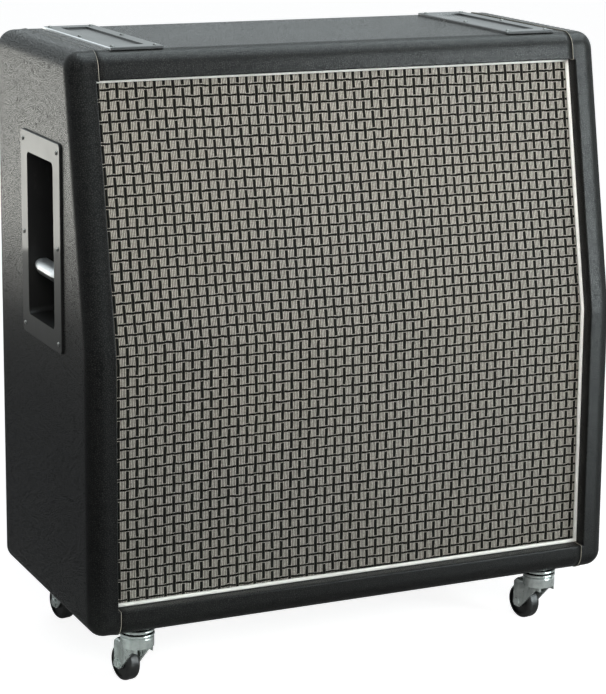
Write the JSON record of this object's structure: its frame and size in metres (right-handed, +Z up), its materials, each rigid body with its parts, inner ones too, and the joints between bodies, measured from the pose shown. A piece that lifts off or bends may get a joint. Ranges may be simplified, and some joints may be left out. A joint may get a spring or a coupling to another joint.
{
  "type": "guitar speaker cabinet",
  "caption": "Angled-front guitar speaker cabinet in black grained vinyl with woven grille, white piping, recessed side handles, stacking plates and swivel casters.",
  "frame": {"origin": "on the floor, under the middle of the body's footprint", "axes": "+Z up, front with the grille towards -Y, +X to the right seen from the front"},
  "size_m": [0.7812, 0.365, 0.8491],
  "materials": {
    "vinyl": "grained black vinyl",
    "ply": "birch ply",
    "timber": "softwood",
    "back_board": "black stain",
    "grille_cloth": "woven check",
    "piping": "satin",
    "handle_black": "gloss",
    "plate_black": "satin",
    "screw_steel": "plated",
    "basket_paint": "satin",
    "magnet_iron": "matte",
    "cone_paper": "pressed paper",
    "jack_plate_paint": "satin",
    "jack_chrome": "polished",
    "zinc": "bright zinc",
    "wheel_black": "matte"
  },
  "bodies": {
    "cabinet": {"covering_left": "vinyl", "covering_right": "vinyl", "covering_top": "vinyl", "covering_bottom": "vinyl", "side_panel_left": "ply", "side_panel_right": "ply", "top_panel": "ply", "bottom_panel": "ply", "baffle_upper": "ply", "baffle_lower": "ply", "front_battens": "timber", "baffle_cleats": "timber", "back_cleats": "timber", "centre_brace": "timber", "back_panel": "back_board", "grille_cloth": "grille_cloth", "piping": "piping", "handle_left": "handle_black", "handle_right": "handle_black", "stacking_plate_left": "plate_black", "stacking_plate_right": "plate_black", "stacking_plate_screws": "screw_steel", "handle_screws": "screw_steel", "back_panel_screws": "screw_steel", "jack_plate_screws": "screw_steel", "driver_screws": "screw_steel", "driver_basket_lower_left": "basket_paint", "driver_basket_lower_right": "basket_paint", "driver_basket_upper_left": "basket_paint", "driver_basket_upper_right": "basket_paint", "driver_magnet_lower_left": "magnet_iron", "driver_magnet_lower_right": "magnet_iron", "driver_magnet_upper_left": "magnet_iron", "driver_magnet_upper_right": "magnet_iron", "driver_cone_lower_left": "cone_paper", "driver_cone_lower_right": "cone_paper", "driver_cone_upper_left": "cone_paper", "driver_cone_upper_right": "cone_paper", "driver_dust_caps": "cone_paper", "driver_spiders": "cone_paper", "jack_plate": "jack_plate_paint", "jack_socket": "jack_chrome", "jack_nut": "jack_chrome", "caster_sockets": "zinc", "caster_stems": "zinc"},
    "swivel_front_left": {"caster_fork_front_left": "zinc", "caster_axle_front_left": "zinc"},
    "wheel_front_left": {"caster_wheel_front_left": "wheel_black"},
    "swivel_front_right": {"caster_fork_front_right": "zinc", "caster_axle_front_right": "zinc"},
    "wheel_front_right": {"caster_wheel_front_right": "wheel_black"},
    "swivel_rear_left": {"caster_fork_rear_left": "zinc", "caster_axle_rear_left": "zinc"},
    "wheel_rear_left": {"caster_wheel_rear_left": "wheel_black"},
    "swivel_rear_right": {"caster_fork_rear_right": "zinc", "caster_axle_rear_right": "zinc"},
    "wheel_rear_right": {"caster_wheel_rear_right": "wheel_black"}
  },
  "joints": [
    {"name": "swivel_front_left", "type": "hinge", "parent": "cabinet", "child": "swivel_front_left", "pos_m": [-0.3055, -0.135, 0.088], "axis": [0, 0, 1], "continuous": true},
    {"name": "roll_front_left", "type": "hinge", "parent": "swivel_front_left", "child": "wheel_front_left", "pos_m": [-0.31088, -0.10447, 0.025], "axis": [0.9848, 0.1736, 0], "continuous": true},
    {"name": "swivel_front_right", "type": "hinge", "parent": "cabinet", "child": "swivel_front_right", "pos_m": [0.3055, -0.135, 0.088], "axis": [0, 0, 1], "continuous": true},
    {"name": "roll_front_right", "type": "hinge", "parent": "swivel_front_right", "child": "wheel_front_right", "pos_m": [0.30012, -0.10447, 0.025], "axis": [0.9848, 0.1736, 0], "continuous": true},
    {"name": "swivel_rear_left", "type": "hinge", "parent": "cabinet", "child": "swivel_rear_left", "pos_m": [-0.3055, 0.124, 0.088], "axis": [0, 0, 1], "continuous": true},
    {"name": "roll_rear_left", "type": "hinge", "parent": "swivel_rear_left", "child": "wheel_rear_left", "pos_m": [-0.31088, 0.15453, 0.025], "axis": [0.9848, 0.1736, 0], "continuous": true},
    {"name": "swivel_rear_right", "type": "hinge", "parent": "cabinet", "child": "swivel_rear_right", "pos_m": [0.3055, 0.124, 0.088], "axis": [0, 0, 1], "continuous": true},
    {"name": "roll_rear_right", "type": "hinge", "parent": "swivel_rear_right", "child": "wheel_rear_right", "pos_m": [0.30012, 0.15453, 0.025], "axis": [0.9848, 0.1736, 0], "continuous": true}
  ]
}
